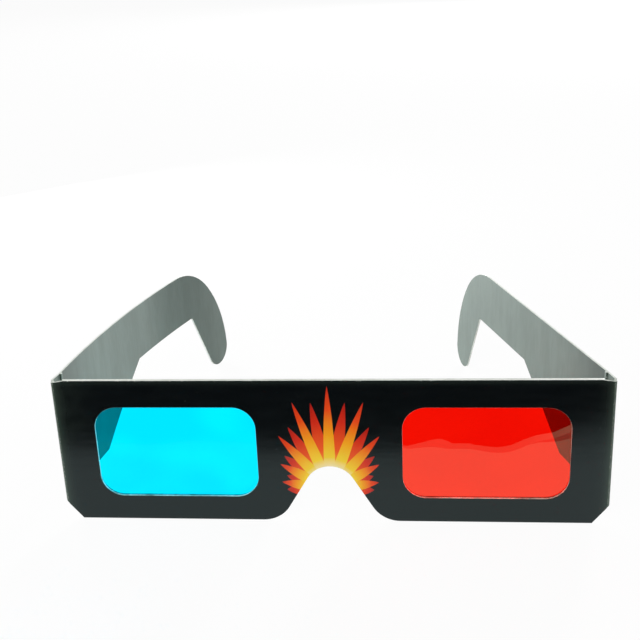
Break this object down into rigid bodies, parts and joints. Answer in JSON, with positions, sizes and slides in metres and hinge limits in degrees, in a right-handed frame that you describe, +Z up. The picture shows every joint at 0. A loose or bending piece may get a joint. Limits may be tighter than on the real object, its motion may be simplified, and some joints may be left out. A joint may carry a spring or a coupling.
{
  "type": "3d glasses",
  "caption": "Folding card 3D viewing glasses with red and cyan colour films, a nose notch and arms with ear hooks that fold at scored creases.",
  "frame": {"origin": "on the table, below the middle of the standing glasses", "axes": "+X to the wearer's left, where the red lens is; -Y out of the printed face of the front; +Z up"},
  "size_m": [0.1406, 0.113, 0.0395],
  "materials": {
    "printed_card": "black print under gloss varnish",
    "arm_card": "black print outside, bare grey board inside",
    "creased_card": "scored and folded board",
    "grey_card": "bare grey board",
    "adhesive": "dried clear glue",
    "red_film": "clear red colour film",
    "cyan_film": "clear cyan colour film"
  },
  "bodies": {
    "front": {"front_panel": "printed_card", "back_panel": "grey_card", "glue_layer": "adhesive", "red_lens": "red_film", "cyan_lens": "cyan_film", "left_front_crease": "creased_card", "right_front_crease": "creased_card"},
    "left_spine": {"left_spine": "arm_card", "left_arm_crease": "creased_card"},
    "left_arm": {"left_arm": "arm_card"},
    "right_spine": {"right_spine": "arm_card", "right_arm_crease": "creased_card"},
    "right_arm": {"right_arm": "arm_card"}
  },
  "joints": [
    {"name": "left_front_fold", "type": "hinge", "parent": "front", "child": "left_spine", "pos_m": [0.0698, -0.05601, 0], "axis": [0, 0, 1], "range_deg": [-105, 0]},
    {"name": "left_arm_fold", "type": "hinge", "parent": "left_spine", "child": "left_arm", "pos_m": [0.06858, -0.05147, 0], "axis": [0, 0, 1], "range_deg": [-20, 68]},
    {"name": "right_front_fold", "type": "hinge", "parent": "front", "child": "right_spine", "pos_m": [-0.0698, -0.05601, 0], "axis": [0, 0, -1], "range_deg": [-97, 0]},
    {"name": "right_arm_fold", "type": "hinge", "parent": "right_spine", "child": "right_arm", "pos_m": [-0.06923, -0.05134, 0], "axis": [0, 0, -1], "range_deg": [-10, 80]}
  ]
}
